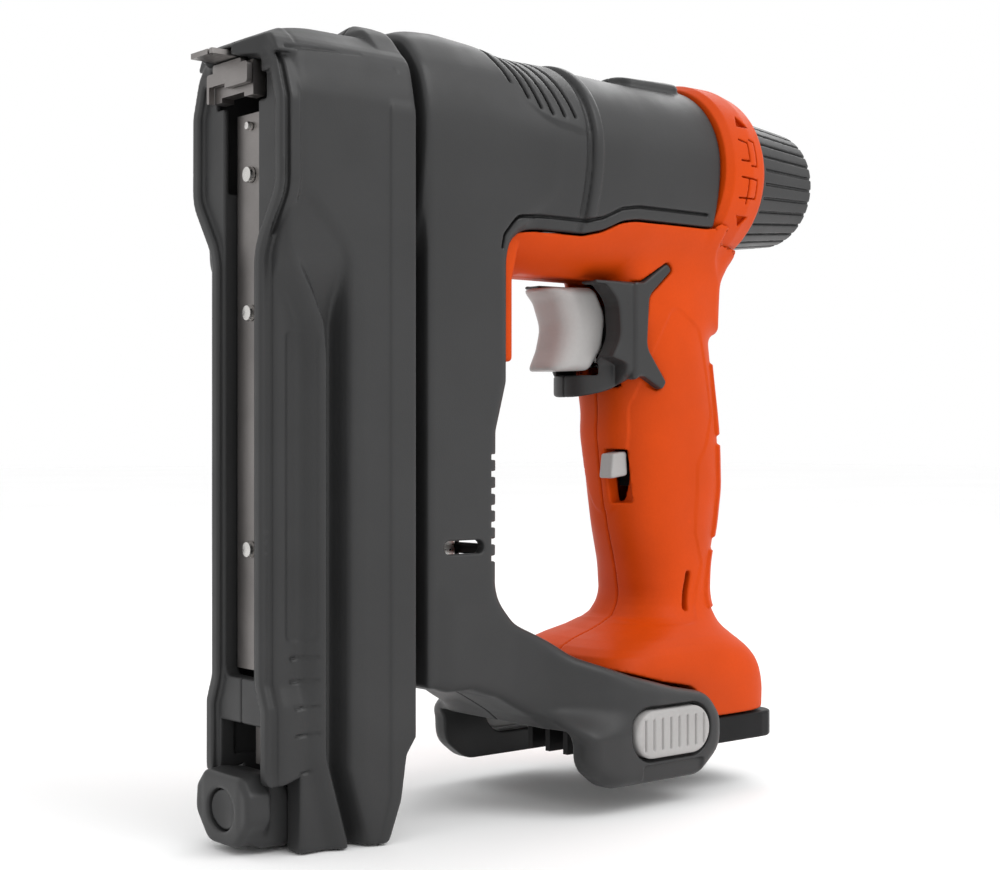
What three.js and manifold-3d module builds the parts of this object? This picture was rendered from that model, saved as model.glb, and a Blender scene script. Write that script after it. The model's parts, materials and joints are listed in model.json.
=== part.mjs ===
// A 12 V cordless staple gun, built as an assembly.  Millimetres, +Z up, the nose points to -X.
// Its visible left side faces -Y, and the whole tool is close to symmetrical about y = 0.
import * as THREE from 'three';
import { mergeVertices } from 'three/addons/utils/BufferGeometryUtils.js';
import Module from 'manifold-3d';

const wasm = await Module();
wasm.setup();

// ---------------------------------------------------------------- driving dimensions
const GAP = 0.35;                 // clearance left between neighbouring pieces
const SPLIT = 0.15;               // half the clearance between the two halves of a shell
const ARC = 3;                    // segments in each rounded corner
const ROUND = 24;                 // segments in a turned piece

const MAG = { front: 3, rear: 46.6, top: 16.8, bottom: -203, half: 22 };
const FLANGE = { narrow: 12.5, foot: 15, jogTop: -30, jogBottom: -45, flareTop: -158, flareBottom: -165 };
const SLOT = { half: 8.5, top: 6.2, bottom: -158 };
const COLUMN = { front: 51.2, rear: 80.9, half: 21, bottom: -163.5 };
const BARREL = { z: -9, r: 26.5, rear: 163.6 };
const COLLAR = { front: 164, rear: 184, r: 29.2, bore: 20 };
const KNOB = { front: 184.4, rear: 216, rFront: 22.2, rRear: 19.2, grooves: 24 };
// Grip and flare, from the barrel down: [height, front x, rear x, half width, squareness].
const GRIP_STATIONS = [
  [-30, 136, 181, 15.5], [-46, 133, 174.8, 16], [-60, 134, 175, 16], [-74, 134, 177.2, 16.2],
  [-86, 134.6, 180.2, 16.5], [-98, 134.6, 181.8, 16.5], [-110, 136.4, 182, 16.5], [-122, 138.4, 180.2, 16],
  [-134, 141, 176.4, 16], [-144, 140, 173.4, 17], [-150, 133, 174, 20], [-155, 124, 176.2, 24.4],
  [-160, 119.4, 180.4, 28, 3.2], [-166, 118, 184, 29.6, 4.4], [-172, 118, 185.8, 30, 5.5],
  [-180.2, 118, 186, 30, 6],
];
const OVAL = { points: 28, power: 2.7 };
const FOOT = { front: 97, rear: 152, half: 38, top: -166, roof: -178.5, bottom: -195.5, bay: 29.5 };
const PLATE = { rear: 186.6, half: 30, top: -180.6, bottom: -189 };
const MOTOR = { x: 64.2, r: 10.3, top: -92, bottom: -136 };
const CAM = { x: 66, z: -36, r: 11.2 };
const DRIVE = { z: -6 };          // height of the driver's line of action
const SPRING = { front: 81, rear: 149, r: 8.2, wire: 1.25, turns: 9 };
const RAIL = { front: 7.7, rear: 19.5, half: 7, top: -7.2, bottom: -156 };
const SCREW = { r: 1.6, head: 3, boss: 3.9 };
// Shell screws enter from the right side: [x, z, y of the head's face, length].
const SCREWS = {
  magazine: [[36.5, -60, 20.4, 30], [36.5, -150, 20.4, 30]],
  body: [[64, -152, 19.6, 30]],
  handle: [[154, -86, 14, 24], [156, -142, 14, 24]],
};
const NOSE = { x: -7.7, z: 6.7 }; // middle of the contact foot's front edge, the row's origin

// ---------------------------------------------------------------- solids from three.js shapes
function solid(geometry) {
  const bare = geometry.clone();
  bare.deleteAttribute('normal');
  bare.deleteAttribute('uv');
  const welded = mergeVertices(bare, 1e-5);
  return new wasm.Manifold(new wasm.Mesh({
    numProp: 3,
    vertProperties: Float32Array.from(welded.attributes.position.array),
    triVerts: Uint32Array.from(welded.index.array),
  }));
}

function union(...parts) {
  return parts.reduce((sum, part) => sum.add(part));
}

// Corners are [u, v, radius]; a corner with no radius stays sharp.
function outline(corners) {
  const shape = new THREE.Shape();
  corners.forEach(([u, v, radius = 0], i) => {
    const [pu, pv] = corners[(i + corners.length - 1) % corners.length];
    const [nu, nv] = corners[(i + 1) % corners.length];
    const before = Math.hypot(pu - u, pv - v);
    const after = Math.hypot(nu - u, nv - v);
    const cut = Math.min(radius, before * 0.49, after * 0.49);
    const start = [u + (pu - u) * cut / before, v + (pv - v) * cut / before];
    if (i === 0) shape.moveTo(...start);
    else shape.lineTo(...start);
    if (cut > 0) shape.quadraticCurveTo(u, v, u + (nu - u) * cut / after, v + (nv - v) * cut / after);
  });
  shape.closePath();
  return shape;
}

// Each point moves inwards along the mean of its two edge normals.
function inset(points, distance) {
  return points.map((point, i) => {
    const before = points[(i + points.length - 1) % points.length];
    const after = points[(i + 1) % points.length];
    const a = point.clone().sub(before).normalize();
    const b = after.clone().sub(point).normalize();
    const normal = new THREE.Vector2(-a.y - b.y, a.x + b.x);
    const stretch = Math.min(2 * distance / Math.max(normal.lengthSq(), 0.2), 1.6 * distance);
    return point.clone().addScaledVector(normal, stretch);
  });
}

// An outline given thickness along +Z, with a chamfer all round both ends.
function extruded(corners, depth, bevel) {
  const shape = outline(corners);
  const steps = bevel > 0 ? 3 : 1;
  const settings = { depth, steps, bevelEnabled: false, curveSegments: ARC };
  const geometry = new THREE.ExtrudeGeometry(shape, settings);
  if (bevel === 0) return geometry;
  const points = shape.getPoints(ARC);
  if (points[0].distanceTo(points.at(-1)) < 1e-6) points.pop();
  if (THREE.ShapeUtils.isClockWise(points)) points.reverse();
  const small = inset(points, bevel);
  const heights = [0, bevel, depth - bevel, depth];
  const position = geometry.attributes.position;
  const place = new THREE.Vector2();
  for (let i = 0; i < position.count; i++) {
    place.set(position.getX(i), position.getY(i));
    const ring = Math.round(position.getZ(i) / depth * steps);
    const near = points.findIndex((point) => point.distanceTo(place) < 1e-4);
    const moved = ring === 0 || ring === steps ? small[near] : points[near];
    position.setXYZ(i, moved.x, moved.y, heights[ring]);
  }
  return geometry;
}

// Slabs: an outline drawn in one plane and given a thickness along the third axis.
function slabY(corners, y0, y1, bevel = 0) {
  return solid(extruded(corners, y1 - y0, bevel).rotateX(Math.PI / 2).translate(0, y1, 0));
}

function slabX(corners, x0, x1, bevel = 0) {
  const flat = extruded(corners, x1 - x0, bevel);
  return solid(flat.rotateX(Math.PI / 2).rotateZ(Math.PI / 2).translate(x0, 0, 0));
}

function slabZ(corners, z0, z1, bevel = 0) {
  return solid(extruded(corners, z1 - z0, bevel).translate(0, 0, z0));
}

function box(x0, x1, y0, y1, z0, z1) {
  return solid(new THREE.BoxGeometry(x1 - x0, y1 - y0, z1 - z0)
    .translate((x0 + x1) / 2, (y0 + y1) / 2, (z0 + z1) / 2));
}

function rectangle(u0, u1, v0, v1, radius = 0) {
  return [[u0, v0, radius], [u1, v0, radius], [u1, v1, radius], [u0, v1, radius]];
}

// Turned solids: the profile lists [radius, distance along the axis].
function turned(profile, segments = ROUND) {
  const points = profile.map(([r, h]) => new THREE.Vector2(r, h));
  return new THREE.LatheGeometry(points, segments);
}

function rod(r, h0, h1, segments = ROUND) {
  return turned([[0, h0], [r, h0], [r, h1], [0, h1]], segments);
}

function alongX(geometry, y, z) {
  return solid(geometry.rotateZ(-Math.PI / 2).translate(0, y, z));
}

function alongY(geometry, x, z) {
  return solid(geometry.translate(x, 0, z));
}

// Distances along this axis are counted downward from z = 0.
function alongZ(geometry, x, y) {
  return solid(geometry.rotateX(-Math.PI / 2).translate(x, y, 0));
}

function half(whole, side) {
  const cut = side < 0 ? box(-50, 260, -80, -SPLIT, -240, 60) : box(-50, 260, SPLIT, 80, -240, 60);
  return whole.intersect(cut);
}

// A solid skinned over horizontal ovals, each given as [height, low x, high x, half width].
function loft(stations) {
  const rows = stations.length - 1;
  const geometry = new THREE.CylinderGeometry(1, 1, 1, OVAL.points, rows);
  const position = geometry.attributes.position;
  for (let i = 0; i < position.count; i++) {
    const station = stations[Math.round((position.getY(i) + 0.5) * rows)];
    const [z, x0, x1, halfWidth, power = OVAL.power] = station;
    const c = position.getX(i);
    const s = position.getZ(i);
    const sum = Math.abs(c) ** power + Math.abs(s) ** power;
    const reach = Math.hypot(c, s) < 0.5 ? 0 : sum ** (-1 / power);
    position.setXYZ(i, (x0 + x1) / 2 + (x1 - x0) / 2 * reach * c, halfWidth * reach * s, z);
  }
  return solid(geometry);
}

// The centre line of a coil about +X.
class Helix extends THREE.Curve {
  constructor(x0, x1, r, turns) {
    super();
    Object.assign(this, { x0, x1, r, turns });
  }

  getPoint(t) {
    const angle = t * this.turns * 2 * Math.PI;
    const x = this.x0 + (this.x1 - this.x0) * t;
    return new THREE.Vector3(x, this.r * Math.cos(angle), this.r * Math.sin(angle));
  }
}

function helix(x0, x1, r, wire, turns) {
  const section = new THREE.Shape().absarc(0, 0, wire, 0, 2 * Math.PI);
  const extrudePath = new Helix(x0 + wire, x1 - wire, r, turns);
  return new THREE.ExtrudeGeometry(section, { steps: turns * 12, extrudePath, curveSegments: 3 });
}

// ---------------------------------------------------------------- magazine housing
function magazineOuter() {
  const side = slabY([
    [MAG.front, -186, 3], [MAG.front, 4], [-3, 5.5], [-3, 8.6, 1], [9, 14, 8], [20, MAG.top, 8],
    [MAG.rear, MAG.top + 1.4, 2], [MAG.rear, -175, 3], [41, -199, 5], [24, MAG.bottom, 4], [12, MAG.bottom],
    [12, -183],
  ], -MAG.half, MAG.half);
  const front = slabX([
    [-MAG.half, -196, 5], [-MAG.half, 4, 14], [-9, MAG.top + 1.4, 10], [9, MAG.top + 1.4, 10],
    [MAG.half, 4, 14], [MAG.half, -196, 5], [16, MAG.bottom, 3], [-16, MAG.bottom, 3],
  ], -5, 60);
  return side.intersect(front).subtract(flangeRelief()).subtract(flangeRelief(-1));
}

// The side is stepped in below the nose, so that each front flange narrows and then flares again.
function flangeRelief(side = 1) {
  const f = FLANGE;
  const relief = slabX([
    [f.narrow, f.jogBottom, 6], [MAG.half - 1.2, f.jogTop, 4], [40, f.jogTop], [40, -210],
    [f.foot, -210], [f.foot, f.flareBottom, 4], [f.narrow, f.flareTop, 4],
  ], -6, 60);
  const wedge = slabZ([
    [-6, 0], [4, 0], [8, 14.6, 2], [19, 19, 2], [30, MAG.half + 2], [30, 60], [-6, 60],
  ], -210, 20);
  const plan = relief.intersect(wedge);
  return side > 0 ? plan : mirroredY(plan);
}

function mirroredY(manifold) {
  const geometry = toGeometry(manifold).scale(1, -1, 1);
  const index = geometry.index.array;
  for (let i = 0; i < index.length; i += 3) {
    const swap = index[i];
    index[i] = index[i + 1];
    index[i + 1] = swap;
  }
  return solid(geometry);
}

function magazineCavity() {
  const store = box(9, 43.4, -13.6, 13.6, -180, 3.6);
  const upper = box(6, 43.4, -15, 15, -28, 9.4);
  const slot = box(-8, 12, -SLOT.half, SLOT.half, SLOT.bottom, SLOT.top);
  const nosePocket = box(-8, 9, -12.5, 12.5, -6, SLOT.top);
  const footSlot = box(-8, 60, -7, 7, 5.2, 8.4);
  const driverWindow = box(40, 60, -11.2, 11.2, -20.6, 4);
  const latchWell = box(-8, 40.5, -10.5, 10.5, -210, -170);
  return union(store, upper, slot, nosePocket, footSlot, driverWindow, latchWell);
}

function magazineGrooves() {
  const deep = slabY([[23.5, -54, 6], [31, -66, 6], [31, -186, 4], [23.5, -190, 4]], -40, -15.6);
  const cuts = [];
  for (const z of [-157, -163, -170, -178]) {
    cuts.push(slabY([[8, z, 1], [17, z + 2, 1], [17, z - 1.6, 1], [8, z - 3.6, 1]], -40, -15.2));
  }
  const left = union(deep, ...cuts);
  return union(left, mirroredY(left));
}

function magazineBand() {
  const ring = slabX([
    [-MAG.half - 1, -185, 5], [-MAG.half - 1, 6, 15], [-10, 21.8, 12], [10, 21.8, 12],
    [MAG.half + 1, 6, 15], [MAG.half + 1, -185, 5], [18, -196, 3], [-18, -196, 3],
  ], 37.5, MAG.rear);
  const taper = slabY([
    [37.5, -190], [37.5, 17], [40, 22], [MAG.rear, 22], [MAG.rear, -175], [42, -192],
  ], -30, 30);
  return ring.intersect(taper);
}

function magazineShell(side) {
  const outer = union(magazineOuter(), magazineBand());
  const whole = outer.subtract(magazineCavity()).subtract(magazineGrooves());
  return half(fastened(whole, outer, SCREWS.magazine), side);
}

// The hidden frame that bridges the shadow gap and ties the magazine to the body.
function fastened(whole, outer, screws) {
  return screws.reduce((shell, [x, z, y, length]) => {
    const boss = alongY(rod(SCREW.boss, -25, 25, 16), x, z).intersect(outer);
    const hole = union(
      alongY(rod(SCREW.r + GAP, y - length - 0.5, y + 1, 14), x, z),
      alongY(rod(SCREW.head + GAP, y - 2.4, y + 12, 18), x, z),
    );
    return shell.add(boss).subtract(hole);
  }, whole);
}

function spineFrame() {
  const plate = slabX(rectangle(-15, 15, -157, 8, 3), MAG.rear + GAP, COLUMN.front - GAP);
  const window = box(40, 60, -11.6, 11.6, -21, 5);
  const footWindow = box(40, 60, -7, 7, 5.2, 20);
  return plate.subtract(window).subtract(footWindow);
}

// ---------------------------------------------------------------- dark body shell
function bodyOuter() {
  const c = COLUMN;
  const column = slabY([
    [c.front, c.bottom, 1], [c.front, 17, 2], [65, 20.5, 4], [82, 18.6, 3], [c.rear, -20], [c.rear, -91, 2],
    [76.8, -95, 2], [76.8, -134, 8], [82, -146, 10], [100, -156, 10], [120, -161, 10], [150, -168, 6],
    [150, -176], [112, -181, 4], [96, -177, 8], [80, -166.5, 8], [70, c.bottom, 4],
  ], -c.half, c.half);
  const barrel = alongX(rod(BARREL.r, 62, BARREL.rear, 48), 0, BARREL.z);
  const barrelTrim = union(box(56, 104, -30, 30, -30, 30), box(103, 134, -30, 30, -27.6, 30),
    box(133, 170, -30, 30, -25.6, 30));
  const crest = slabX([
    [-12, 6], [-12, 14, 5], [-6, 19.4, 5], [6, 19.4, 5], [12, 14, 5], [12, 6],
  ], 140, 160, 1);
  const rib = alongX(turned([[20, 104], [27.6, 104], [27.6, 113], [20, 113], [20, 104]], 48), 0, BARREL.z)
    .intersect(barrelTrim);
  const columnTop = slabX([
    [-22, -40], [-22, 0, 16], [-8, 21, 10], [8, 21, 10], [22, 0, 16], [22, -40],
  ], 40, 100);
  const columnPlan = slabZ(rectangle(c.front, c.rear, -c.half, c.half, 5), -140, 30);
  const middle = columnPlan.intersect(box(40, 160, -40, 40, -140, -30));
  const lower = box(40, 160, -c.half, c.half, -210, -139);
  const columnKeep = union(columnTop.intersect(columnPlan), middle, lower);
  return union(column.intersect(columnKeep), barrel.intersect(barrelTrim), crest, rib, footBlock());
}

function footBlock() {
  const f = FOOT;
  const side = slabY([
    [f.front, f.bottom, 13], [f.front, f.top - 4, 11], [118, f.top, 8], [136, f.top, 8],
    [f.rear, f.top - 6, 9], [f.rear, f.bottom + 6, 9], [142, f.bottom, 8],
  ], -f.half, f.half, 2.4);
  const bay = box(f.front - 5, f.rear + 5, -f.bay, f.bay, f.bottom - 5, f.roof);
  return side.subtract(bay);
}

function bodyCavity() {
  const f = FOOT;
  const motorBay = box(53.4, 78.6, -17.6, 17.6, -90, 2);
  const lowerBay = box(53.4, 74.9, -17.6, 17.6, -158, -89);
  const mechanism = alongX(rod(22.6, 54, 170, 40), 0, BARREL.z).intersect(box(50, 170, -19, 19, -22.6, 14));
  const openBottom = box(84, 170, -18, 18, -60, -20);
  const driverWindow = box(48, 60, -11.2, 11.2, -20.6, 4);
  const footWindow = box(48, 66, -7, 7, 3, 9.5);
  const arm = slabY([
    [70, -150], [88, -160, 3], [112, -167, 3], [145, -169.6], [145, -173.4], [112, -175], [92, -171, 3],
    [70, -158],
  ], -14, 14);
  const buttonHole = slabY(rectangle(113.6, 145.4, -188.4, -173.4, 7.4), 20, 60);
  const neck = box(106, 144, -15, 15, -182, -160);
  return union(motorBay, lowerBay, mechanism, openBottom, driverWindow, footWindow, arm, buttonHole,
    mirroredY(buttonHole), neck);
}

function bodyLouvres() {
  const cuts = [];
  for (let i = 0; i < 6; i++) {
    const x = 78 + i * 4.4;
    cuts.push(slabY([[x, 3], [x + 6, 19], [x + 7.6, 19], [x + 1.6, 3]], -30, -13.5));
  }
  for (let i = 0; i < 7; i++) {
    const z = -129 + i * 4.6;
    cuts.push(box(74, 90, -11, -3, z, z + 2));
  }
  const slot = slabY(rectangle(57.5, 72, -126.5, -122.6, 1.9), -30, -16);
  const left = union(...cuts, slot);
  return union(left, mirroredY(left));
}

function bodyShell(side) {
  const outer = bodyOuter();
  const whole = outer.subtract(bodyCavity()).subtract(bodyLouvres());
  return half(fastened(whole, outer, SCREWS.body), side);
}

// ---------------------------------------------------------------- orange handle shell
function handleOuter() {
  const strip = slabY([
    [81.3, -72, 1], [81.3, -30.4], [103.6, -30.4], [103.6, -28], [133.6, -28], [133.6, -26], [163.6, -26],
    [163.6, -34], [184, -30, 6], [180, -40, 8], [176, -46], [150, -50], [134, -46.5, 3], [92, -48, 5],
    [85.2, -56], [85.2, -72, 1],
  ], -17.5, 17.5);
  return union(strip, loft(GRIP_STATIONS));
}

function handleCavity() {
  const upper = box(104, 158, -13.4, 13.4, -43.4, -20);
  const inner = ([z, x0, x1, halfWidth, power]) => [z, x0 + 3, x1 - 3, halfWidth - 2.8, power];
  const grip = loft(GRIP_STATIONS.map(inner));
  const triggerWindow = box(95, 152, -9.4, 9.4, -78, -30);
  const ventSlot = slabY([
    [168.6, -152, 1.4], [165.4, -152, 1.4], [170.8, -137, 1.4], [174, -137, 1.4],
  ], 10, 30);
  const switchSlot = box(126, 141.4, -9.8, -3, -114.2, -97.2);
  return union(upper, grip, triggerWindow, mirroredY(ventSlot), switchSlot);
}

function handleShell(side) {
  const body = union(bodyOuter(), footBlock(), box(97, 152.6, -38, 38, -196, -178.5));
  const round = alongX(rod(BARREL.r + 1.4, 60, 170, 40), 0, BARREL.z);
  const clearance = round.intersect(box(56, 170, -30, 30, -25, 30));
  const collarRoom = alongX(rod(COLLAR.r + 0.8, 163.6, 190, 40), 0, BARREL.z);
  const bodyRoom = handleBodyRoom();
  const outer = handleOuter();
  const whole = outer.subtract(handleCavity()).subtract(clearance).subtract(bodyRoom).subtract(collarRoom);
  return largest(half(fastened(whole, outer, SCREWS.handle).subtract(body), side));
}

// Room for the arm and the foot's roof where the flare sits on them.
function handleBodyRoom() {
  return slabY([
    [80, -140], [82.5, -145], [100, -154.6], [118, -159.8], [136, -165.2], [152.6, -171.4], [152.6, -200],
    [80, -200],
  ], -40, 40);
}

function largest(manifold) {
  const pieces = manifold.decompose();
  return pieces.reduce((best, piece) => (piece.volume() > best.volume() ? piece : best));
}

function footPlate() {
  const p = PLATE;
  const plan = [
    [152.7, -p.half, 2], [p.rear, -p.half, 8], [p.rear, p.half, 8], [152.7, p.half, 2],
  ];
  const rim = slabZ(plan, p.bottom, p.top, 0.6);
  const relief = box(150, 178, -24, 24, p.bottom - 2, p.bottom + 3.4);
  return rim.subtract(relief);
}

// ---------------------------------------------------------------- trigger group
function triggerBezel(side) {
  const plate = slabY([
    [100, -45.8, 2], [136, -44.8, 2], [147, -40.4, 1.6], [149, -42.4, 1.6], [139.6, -50, 6], [138.8, -66, 6],
    [147, -76.6, 1.6], [145.4, -78.6, 1.6], [136, -74, 4], [126, -81.5, 5], [110, -78, 6], [102, -73, 1],
    [124, -74, 3], [132, -60, 12], [126, -49.6, 3], [100, -49.6],
  ], -18.6, -17.9);
  return side < 0 ? plate : mirroredY(plate);
}

function triggerPiece() {
  const finger = slabY([
    [104.4, -48.8, 2], [128, -47.6, 2], [131.4, -58, 8], [124.6, -73.2, 2], [108.4, -73.4, 3], [111.8, -66, 6],
    [113.6, -60, 6], [110.6, -53, 5],
  ], -8.2, 8.2, 0.5);
  const stem = box(126, 133, -4, 4, -64, -56);
  return union(finger, stem);
}

function lockSwitch() {
  return slabY([
    [132.2, -106.6, 1.2], [133.6, -98.6, 1], [139, -98, 1.4], [139.4, -105.6, 1.4],
  ], -9.2, -3.6, 0.3);
}

// ---------------------------------------------------------------- collar and knob
function collar() {
  const c = COLLAR;
  const ring = alongX(turned([
    [c.bore, c.front], [c.r - 1.2, c.front], [c.r, c.front + 2.4], [c.r + 0.4, c.rear - 9],
    [c.r - 1.2, c.rear - 2], [c.r - 3.4, c.rear], [c.bore, c.rear], [c.bore, c.front],
  ], 48), 0, BARREL.z);
  return ring;
}

function knob() {
  const k = KNOB;
  const body = alongX(turned([
    [5.4, k.front], [k.rFront, k.front], [k.rFront, k.front + 4], [k.rRear, k.rear - 1.6],
    [k.rRear - 1.8, k.rear], [0, k.rear], [0, k.rear - 7], [5.4, k.rear - 7], [5.4, k.front],
  ], 48), 0, BARREL.z);
  const grooves = [];
  for (let i = 0; i < k.grooves; i++) {
    const angle = i / k.grooves * 2 * Math.PI;
    const groove = new THREE.BoxGeometry(k.rear - k.front - 6, 1.5, 1.1)
      .rotateY(Math.atan2(k.rFront - k.rRear, k.rear - k.front - 6))
      .translate((k.front + k.rear) / 2 + 2, 0, (k.rFront + k.rRear) / 2)
      .rotateX(angle)
      .translate(0, 0, BARREL.z);
    grooves.push(solid(groove));
  }
  return body.subtract(union(...grooves));
}

function adjustScrew() {
  return alongX(turned([
    [0, 156], [4.6, 156], [4.6, 181], [12, 181], [12, 183.6], [5, 183.6], [5, 208.6], [0, 208.6],
  ], 24), 0, BARREL.z);
}

function screwNut() {
  const ring = alongX(turned([[5, 170], [11, 170], [11, 176], [5, 176], [5, 170]], 24), 0, BARREL.z);
  const ears = box(171, 175, -19.4, 19.4, BARREL.z - 4, BARREL.z + 4);
  const bore = alongX(rod(5, 160, 180, 24), 0, BARREL.z);
  return union(ring, ears).subtract(bore);
}

// ---------------------------------------------------------------- drive train
function driverBlade() {
  const blade = box(21, 57, -5.2, 5.2, DRIVE.z - 0.6, DRIVE.z + 0.6);
  const tang = box(55, 60, -6.4, 6.4, DRIVE.z - 0.6, DRIVE.z + 0.6);
  return union(blade, tang);
}

function hammer() {
  const block = slabY([[54.6, -14, 2], [54.6, 2, 2], [78, 2, 2], [78, -14, 2]], -10.4, 10.4, 1);
  const bladeSlot = box(50, 60.4, -6.8, 6.8, DRIVE.z - 0.95, DRIVE.z + 0.95);
  const rodBore = alongX(rod(3.5, 62, 90, 20), 0, DRIVE.z);
  const lug = box(55, 61, -4, 4, -19.6, -13);
  return union(block, lug).subtract(bladeSlot).subtract(rodBore);
}

function springRod() {
  return alongX(rod(3.1, 64.5, 155.4, 20), 0, DRIVE.z);
}

function springSeat() {
  const disc = alongX(rod(11, 149.6, 153.6, 28), 0, DRIVE.z);
  const bore = alongX(rod(3.4, 140, 160, 20), 0, DRIVE.z);
  return disc.subtract(bore);
}

function driveSpring() {
  const coil = helix(SPRING.front - 2.4, SPRING.rear, SPRING.r, SPRING.wire, SPRING.turns);
  return solid(coil.translate(0, 0, DRIVE.z));
}

function hammerGuide(side) {
  const rail = slabY(rectangle(54.8, 100, -18, 6, 1), 11, 12.6);
  const cut = box(56, 76, 5, 20, -12, 0);
  const right = rail.subtract(cut);
  return side > 0 ? right : mirroredY(right);
}

function camWheel() {
  const disc = alongY(rod(CAM.r, -4, 4, 40), CAM.x, CAM.z);
  const hub = alongY(rod(6, -8, 8, 24), CAM.x, CAM.z);
  const pin = alongY(rod(1.8, 3, 8, 16), CAM.x - 8.2, CAM.z);
  const bore = alongY(rod(2.55, -20, 20, 20), CAM.x, CAM.z);
  return union(disc, hub, pin).subtract(bore);
}

function camShaft() {
  return alongY(rod(2.5, -16.8, 16.8, 20), CAM.x, CAM.z);
}

function toothed(r, teeth, depth, h0, h1) {
  const shape = new THREE.Shape();
  for (let i = 0; i < teeth; i++) {
    const a = i / teeth * 2 * Math.PI;
    const step = 2 * Math.PI / teeth;
    const ring = [[r - depth, 0], [r, 0.2], [r, 0.45], [r - depth, 0.65]];
    for (const [radius, part] of ring) {
      const angle = a + step * part;
      const u = radius * Math.cos(angle);
      const v = radius * Math.sin(angle);
      if (i === 0 && part === 0) shape.moveTo(u, v);
      else shape.lineTo(u, v);
    }
  }
  shape.closePath();
  return new THREE.ExtrudeGeometry(shape, { depth: h1 - h0, bevelEnabled: false }).translate(0, 0, h0);
}

function motorCan() {
  const m = MOTOR;
  const outer = alongZ(rod(m.r, -m.top, -m.bottom, 40), m.x, 0);
  const inner = alongZ(rod(m.r - 1.8, -m.top + 2, -m.bottom + 0.1, 40), m.x, 0);
  const nose = alongZ(rod(3, -m.top - 4, -m.top + 6, 20), m.x, 0);
  return outer.subtract(inner).subtract(nose);
}

function motorRotor() {
  const x = MOTOR.x;
  const shaft = alongZ(rod(1.5, 84, 139, 16), x, 0);
  const core = alongZ(rod(7.6, 98, 122, 24), x, 0);
  const commutator = alongZ(rod(4.2, 125, 132, 20), x, 0);
  return union(shaft, core, commutator);
}

function motorCap() {
  const x = MOTOR.x;
  const disc = alongZ(rod(MOTOR.r - 0.2, 136.4, 141, 32), x, 0);
  return disc.subtract(alongZ(rod(2, 134, 139.6, 16), x, 0));
}

function gearbox() {
  const x = MOTOR.x;
  const can = alongZ(rod(10.6, 58, 91.6, 32), x, 0);
  const bore = alongZ(rod(9.3, 60, 92, 32), x, 0);
  const top = alongZ(rod(3.5, 46, 62, 20), x, 0);
  return can.subtract(bore).subtract(top);
}

function sunPinion() {
  const x = MOTOR.x;
  const gear = solid(toothed(3.6, 12, 0.8, -90, -84.4).translate(x, 0, 0));
  return gear.subtract(alongZ(rod(1.5, 80, 92, 16), x, 0));
}

function outputShaft() {
  const x = MOTOR.x;
  const carrier = alongZ(rod(8.6, 72, 78, 24), x, 0);
  const shaft = alongZ(rod(3.1, 48.4, 74, 20), x, 0);
  const bevel = solid(toothed(5.4, 14, 1, -52.2, -47.8).translate(x, 0, 0));
  return union(carrier, shaft, bevel);
}

// ---------------------------------------------------------------- magazine contents
function magazineRail() {
  const r = RAIL;
  const channel = box(r.front, r.rear, -r.half, r.half, r.bottom, r.top);
  const inside = box(r.front + 1.2, r.rear + 2, -r.half + 1.2, r.half - 1.2, r.bottom - 2, r.top + 2);
  const notch = box(r.front - 1, r.front + 2, -r.half - 1, -r.half + 3.4, -131, -125);
  const lip = box(r.front, 16, -12, -r.half + 0.5, r.top - 1.4, r.top);
  return union(channel.subtract(inside).subtract(notch), lip);
}

function railRivet(z, r) {
  return alongX(turned([[0, 5.9], [r, 6.1], [r + 0.2, 6.8], [r + 0.2, 7.5], [0, 7.5]], 18), 0, z);
}

function magazineCore() {
  return box(11.4, 17, -3.6, 3.6, -182, -6.9);
}

function pusher() {
  const block = box(9.3, 19.2, -5.2, 5.2, -88, -76);
  const room = box(11, 17.4, -4, 4, -100, -60);
  const ear = box(17.6, 24, -5.2, 5.2, -92, -76);
  return union(block, ear).subtract(room);
}

function stapleStrip() {
  const outer = box(9.4, 18.7, -5.1, 5.1, -75.6, -7);
  const inner = box(8, 17.4, -3.95, 3.95, -80, 0);
  return outer.subtract(inner);
}

function pusherSpring() {
  const coil = helix(-172, -92.6, 2.4, 0.6, 11);
  return solid(coil.rotateY(-Math.PI / 2).translate(21.2, 0, 0));
}

function latchCap() {
  const body = slabY([
    [-1.6, -184, 3], [3, -182.4, 2], [9.6, -182.4], [9.6, -186], [36, -190, 4], [38, -198, 4],
    [24, -202.4, 3], [2, -202.4, 5], [-1.6, -197.4, 4],
  ], -10.1, 10.1, 1.4);
  const cheeks = slabX([
    [-12.6, -184.5, 4], [12.6, -184.5, 4], [13.4, -202, 6], [-13.4, -202, 6],
  ], -1.8, 2.6, 0.8);
  const button = slabX(rectangle(-6.6, 6.6, -197.2, -187.2, 4.6), -3, 4.4);
  return union(body, cheeks).subtract(button);
}

function latchButton() {
  return slabX(rectangle(-6.1, 6.1, -196.7, -187.7, 4.4), -1.7, 2, 0.5);
}

// ---------------------------------------------------------------- nose
function nosePlate() {
  const plate = slabX([
    [-10.1, -1.2, 1], [-10.1, 4.4, 1], [-7, 4.4], [-7, 5.6, 0.8], [7, 5.6, 0.8], [7, 3.4], [10.1, 3.4, 1],
    [10.1, -4.4, 0.8], [8.9, -4.4], [8.9, 0], [1, 0], [1, -1.2],
  ], 0, 1.6);
  return plate;
}

function noseBack() {
  const plate = box(2, 5.8, -10, 10, -4.2, 5);
  const track = box(0, 7, -5.6, 5.6, DRIVE.z - 1, DRIVE.z + 3);
  return plate.subtract(track);
}

function contactFoot() {
  const tip = slabZ([[-7.7, -5.5, 0.4], [40, -5.5], [40, 5.5], [-7.7, 5.5, 0.4]], 6, 7.4);
  const rear = box(38, 58, -4, 4, 6, 7.4);
  const notch = box(-9, -6.4, -4.2, -3.2, 5, 9);
  return union(tip, rear).subtract(notch);
}

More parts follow.
